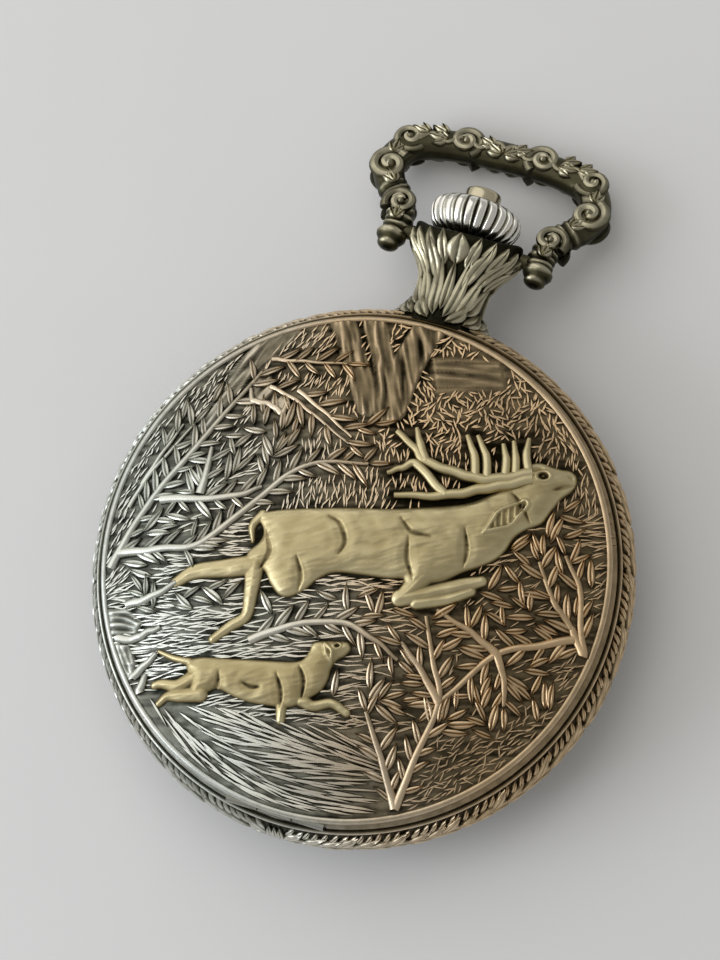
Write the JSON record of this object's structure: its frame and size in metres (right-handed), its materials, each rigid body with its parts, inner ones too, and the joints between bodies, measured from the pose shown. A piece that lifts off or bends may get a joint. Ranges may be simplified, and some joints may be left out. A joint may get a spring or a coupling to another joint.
{
  "type": "hunter pocket watch",
  "caption": "Round hunter-case pocket watch with a hinged relief lid, scrolled bow, fluted crown with a release button, dial, hands and a wound movement under a hinged back.",
  "frame": {"origin": "centre of the flat on the back cover that the watch rests on", "axes": "+X to 3 o'clock, +Y from the case to the pendant and bow, +Z from the back cover to the lid"},
  "size_m": [0.0482, 0.0679, 0.0139],
  "materials": {
    "silver": "antique silver plate with dark patina in the recesses",
    "steel": "polished steel",
    "blued_steel": "heat-blued steel",
    "brass": "gilt brass",
    "nickel": "striped nickel plate",
    "enamel": "white enamel",
    "glass": "clear watch glass"
  },
  "bodies": {
    "case": {"case_band": "silver", "pendant": "silver", "stem_sleeve": "brass", "lid_hinge_pin": "steel", "back_hinge_pin": "steel", "lid_lift_spring": "steel", "bezel": "silver", "crystal": "glass", "dial": "enamel", "movement_ring": "brass", "mainplate": "brass", "barrel_bridge": "nickel", "train_bridge": "nickel", "balance_cock": "nickel", "pallet_bridge": "nickel", "barrel_bridge_screw_1": "blued_steel", "barrel_bridge_screw_2": "blued_steel", "barrel_bridge_screw_3": "blued_steel", "train_bridge_screw_1": "blued_steel", "train_bridge_screw_2": "blued_steel", "cock_screw": "blued_steel", "case_screw_1": "blued_steel", "case_screw_2": "blued_steel", "crown_wheel_screw": "blued_steel", "click_screw": "blued_steel", "click_spring": "steel"},
    "lid": {"lid": "silver"},
    "back": {"back_cover": "silver"},
    "bow": {"bow": "silver"},
    "winding": {"winding_pinion": "steel"},
    "crown": {"crown": "silver", "winding_stem": "steel", "button_spring": "steel"},
    "button": {"release_button": "silver"},
    "clutch": {"clutch_wheel": "steel"},
    "setting": {"setting_lever": "steel"},
    "catch": {"lid_catch": "steel"},
    "crown_wheel": {"crown_wheel": "steel"},
    "ratchet": {"ratchet_wheel": "steel", "ratchet_screw": "blued_steel", "barrel_arbor": "steel"},
    "click": {"click": "steel"},
    "minute": {"centre_wheel": "brass", "cannon_pinion": "steel", "minute_hand": "blued_steel"},
    "hour": {"hour_wheel": "brass", "hour_hand": "blued_steel"},
    "minute_work": {"minute_wheel": "brass"},
    "barrel": {"barrel_drum": "brass", "barrel_cover": "brass", "mainspring": "blued_steel"},
    "third": {"third_wheel": "brass"},
    "seconds": {"fourth_wheel": "brass", "second_hand": "blued_steel"},
    "escape": {"escape_wheel": "steel"},
    "fork": {"pallet_fork": "steel"},
    "balance": {"balance_wheel": "brass", "hairspring": "blued_steel"},
    "regulator": {"regulator": "steel"}
  },
  "joints": [
    {"name": "lid_hinge", "type": "hinge", "parent": "case", "child": "lid", "pos_m": [0, -0.02235, 0.0091], "axis": [1, 0, 0], "range_deg": [0, 100]},
    {"name": "back_hinge", "type": "hinge", "parent": "case", "child": "back", "pos_m": [0, -0.02235, 0.0032], "axis": [-1, 0, 0], "range_deg": [0, 95]},
    {"name": "bow_pivot", "type": "hinge", "parent": "case", "child": "bow", "pos_m": [0, 0.0316, 0.0056], "axis": [1, 0, 0], "range_deg": [-78, 122]},
    {"name": "crown_turn", "type": "hinge", "parent": "case", "child": "winding", "pos_m": [0, 0.0156, 0.0056], "axis": [0, 1, 0], "continuous": true},
    {"name": "crown_pull", "type": "slide", "parent": "winding", "child": "crown", "axis": [0, 1, 0], "range_m": [0, 0.001]},
    {"name": "button_press", "type": "slide", "parent": "crown", "child": "button", "axis": [0, -1, 0], "range_m": [0, 0.0007], "stiffness_N_per_m": 400},
    {"name": "clutch_slide", "type": "slide", "parent": "winding", "child": "clutch", "axis": [0, -1, 0], "range_m": [0, 0.0006]},
    {"name": "setting_turn", "type": "hinge", "parent": "case", "child": "setting", "pos_m": [0.0036, 0.0142, 0.0072], "axis": [0, 0, 1], "range_deg": [0, 12]},
    {"name": "catch_slide", "type": "slide", "parent": "case", "child": "catch", "axis": [0, -1, 0], "range_m": [0, 0.0007]},
    {"name": "crown_wheel_turn", "type": "hinge", "parent": "case", "child": "crown_wheel", "pos_m": [0, 0.0122, 0.0032], "axis": [0, 0, 1], "continuous": true},
    {"name": "ratchet_turn", "type": "hinge", "parent": "case", "child": "ratchet", "pos_m": [-0.006, 0.0059, 0.0032], "axis": [0, 0, 1], "continuous": true},
    {"name": "click_turn", "type": "hinge", "parent": "case", "child": "click", "pos_m": [-0.0126, 0.0042, 0.0032], "axis": [0, 0, 1], "range_deg": [0, 15]},
    {"name": "minute_turn", "type": "hinge", "parent": "case", "child": "minute", "pos_m": [0, 0, 0.007], "axis": [0, 0, -1], "continuous": true},
    {"name": "hour_turn", "type": "hinge", "parent": "case", "child": "hour", "pos_m": [0, 0, 0.0075], "axis": [0, 0, -1], "continuous": true},
    {"name": "minute_work_turn", "type": "hinge", "parent": "case", "child": "minute_work", "pos_m": [0.00346, -0.002, 0.0072], "axis": [0, 0, -1], "continuous": true},
    {"name": "barrel_turn", "type": "hinge", "parent": "case", "child": "barrel", "pos_m": [-0.006, 0.0059, 0.005], "axis": [0, 0, -1], "continuous": true},
    {"name": "third_turn", "type": "hinge", "parent": "case", "child": "third", "pos_m": [0.00422, -0.00527, 0.005], "axis": [0, 0, -1], "continuous": true},
    {"name": "seconds_turn", "type": "hinge", "parent": "case", "child": "seconds", "pos_m": [0, -0.0088, 0.0053], "axis": [0, 0, -1], "continuous": true},
    {"name": "escape_turn", "type": "hinge", "parent": "case", "child": "escape", "pos_m": [-0.0046, -0.01048, 0.0057], "axis": [0, 0, -1], "continuous": true},
    {"name": "fork_swing", "type": "hinge", "parent": "case", "child": "fork", "pos_m": [-0.00736, -0.00889, 0.0057], "axis": [0, 0, 1], "range_deg": [-5, 5]},
    {"name": "balance_swing", "type": "hinge", "parent": "case", "child": "balance", "pos_m": [-0.01028, -0.0072, 0.004], "axis": [0, 0, 1], "range_deg": [-135, 135]},
    {"name": "regulator_turn", "type": "hinge", "parent": "case", "child": "regulator", "pos_m": [-0.01028, -0.0072, 0.0023], "axis": [0, 0, 1], "range_deg": [-12, 12]}
  ],
  "couplings": [
    {"joint": "catch_slide", "follows": "button_press", "ratio": 1},
    {"joint": "clutch_slide", "follows": "crown_pull", "ratio": 0.6},
    {"joint": "setting_turn", "follows": "crown_pull", "rad_per_m": 209},
    {"joint": "crown_wheel_turn", "follows": "crown_turn", "ratio": 0.33333},
    {"joint": "ratchet_turn", "follows": "crown_turn", "ratio": -0.23529},
    {"joint": "hour_turn", "follows": "minute_turn", "ratio": 0.083333},
    {"joint": "minute_work_turn", "follows": "minute_turn", "ratio": -0.33333},
    {"joint": "barrel_turn", "follows": "minute_turn", "ratio": -0.16667},
    {"joint": "third_turn", "follows": "minute_turn", "ratio": -8},
    {"joint": "seconds_turn", "follows": "minute_turn", "ratio": 60},
    {"joint": "escape_turn", "follows": "minute_turn", "ratio": -480}
  ]
}
